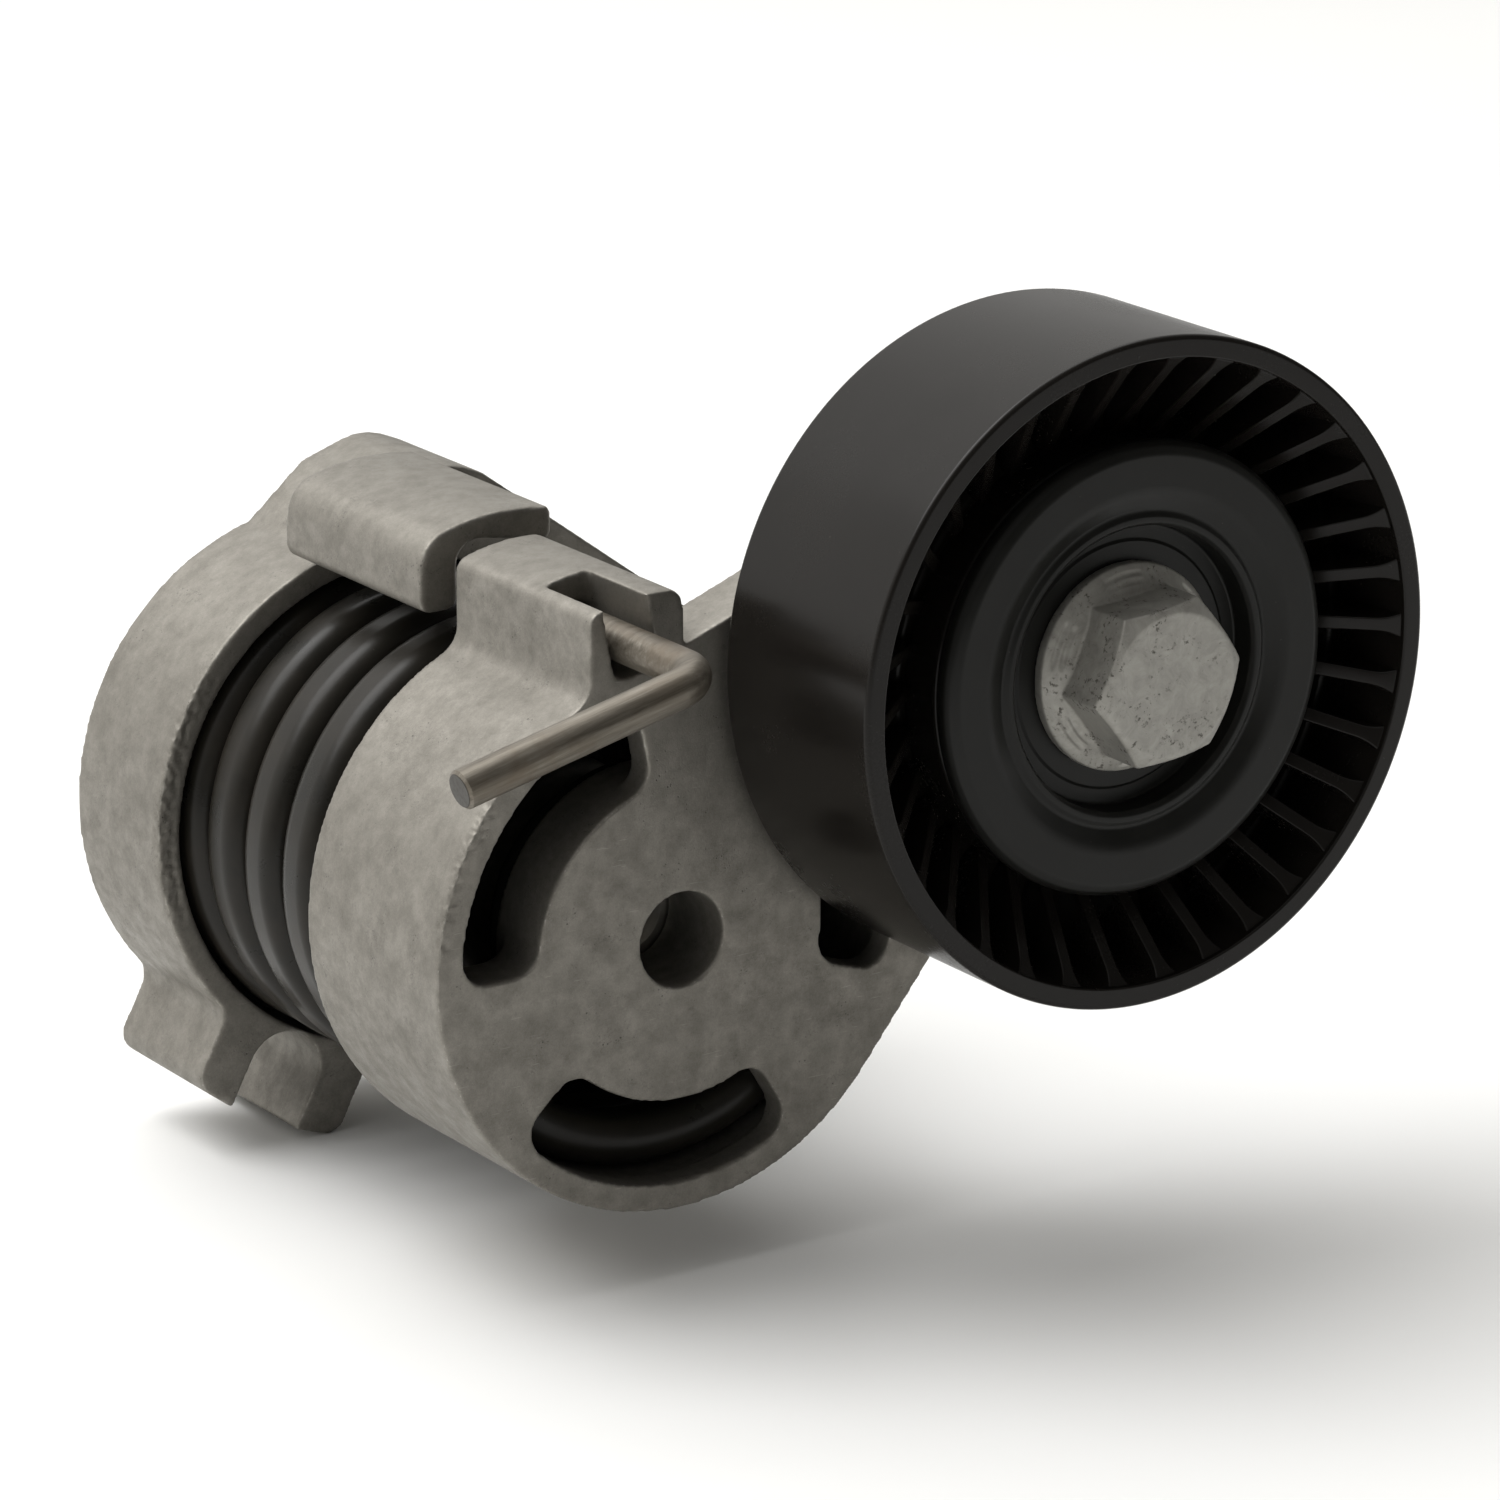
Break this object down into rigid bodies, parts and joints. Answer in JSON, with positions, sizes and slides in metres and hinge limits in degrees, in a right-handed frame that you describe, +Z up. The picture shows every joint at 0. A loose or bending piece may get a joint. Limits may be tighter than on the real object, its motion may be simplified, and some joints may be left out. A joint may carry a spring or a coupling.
{
  "type": "automatic belt tensioner with idler pulley",
  "caption": "Spring-loaded belt tensioner: cast base and arm around a torsion spring, ribbed idler pulley on a ball bearing, L-shaped locking pin.",
  "frame": {"origin": "where the pivot axis meets the plane of the base's rear mounting face", "axes": "+X right across the front, +Y back along the pivot axis towards the engine, +Z up; the front of the tensioner faces -Y"},
  "size_m": [0.1086, 0.1049, 0.0999],
  "materials": {
    "cast_aluminium": "as-cast, matt, mottled",
    "pulley_plastic": "semi-gloss moulded black",
    "black_sheet_steel": "satin black coating",
    "coated_spring_steel": "satin black coating",
    "zinc_plated_steel": "bright zinc, speckled",
    "pin_wire": "drawn wire, brownish",
    "turned_steel": "turned",
    "bearing_steel": "ground",
    "pressed_steel": "pressed",
    "bronze": "sintered",
    "wear_plastic": "matt moulded",
    "seal_rubber": "matt"
  },
  "bodies": {
    "base": {"base_housing": "cast_aluminium", "pivot_bush": "bronze", "rear_friction_washer": "wear_plastic", "rear_spring_seat": "wear_plastic", "torsion_spring": "coated_spring_steel"},
    "arm": {"arm_housing": "cast_aluminium", "pivot_pin": "turned_steel", "pin_retaining_washer": "turned_steel", "front_spring_seat": "wear_plastic", "rear_dust_shield": "pressed_steel", "pulley_bolt": "zinc_plated_steel", "dust_cover": "black_sheet_steel", "bearing_inner_ring": "bearing_steel"},
    "pulley": {"pulley_rim": "pulley_plastic", "bearing_outer_ring": "bearing_steel", "front_seal": "seal_rubber", "rear_seal": "seal_rubber"},
    "ball_set": {"bearing_balls": "bearing_steel", "cage_half_front": "pressed_steel", "cage_half_rear": "pressed_steel", "cage_rivets": "pressed_steel"},
    "lock_pin": {"locking_pin": "pin_wire"}
  },
  "joints": [
    {"name": "arm_pivot", "type": "hinge", "parent": "base", "child": "arm", "pos_m": [0, 0, 0], "axis": [0, -1, 0], "range_deg": [-4, 45], "deforming": ["torsion_spring"]},
    {"name": "pulley_spin", "type": "hinge", "parent": "arm", "child": "pulley", "pos_m": [0.03896, -0.0888, 0.02821], "axis": [0, -1, 0], "continuous": true},
    {"name": "cage_spin", "type": "hinge", "parent": "arm", "child": "ball_set", "pos_m": [0.03896, -0.0888, 0.02821], "axis": [0, -1, 0], "continuous": true},
    {"name": "pin_pull", "type": "slide", "parent": "arm", "child": "lock_pin", "axis": [0, -1, 0], "range_m": [0, 0.032]}
  ],
  "couplings": [
    {"joint": "cage_spin", "follows": "pulley_spin", "ratio": 0.6184}
  ]
}
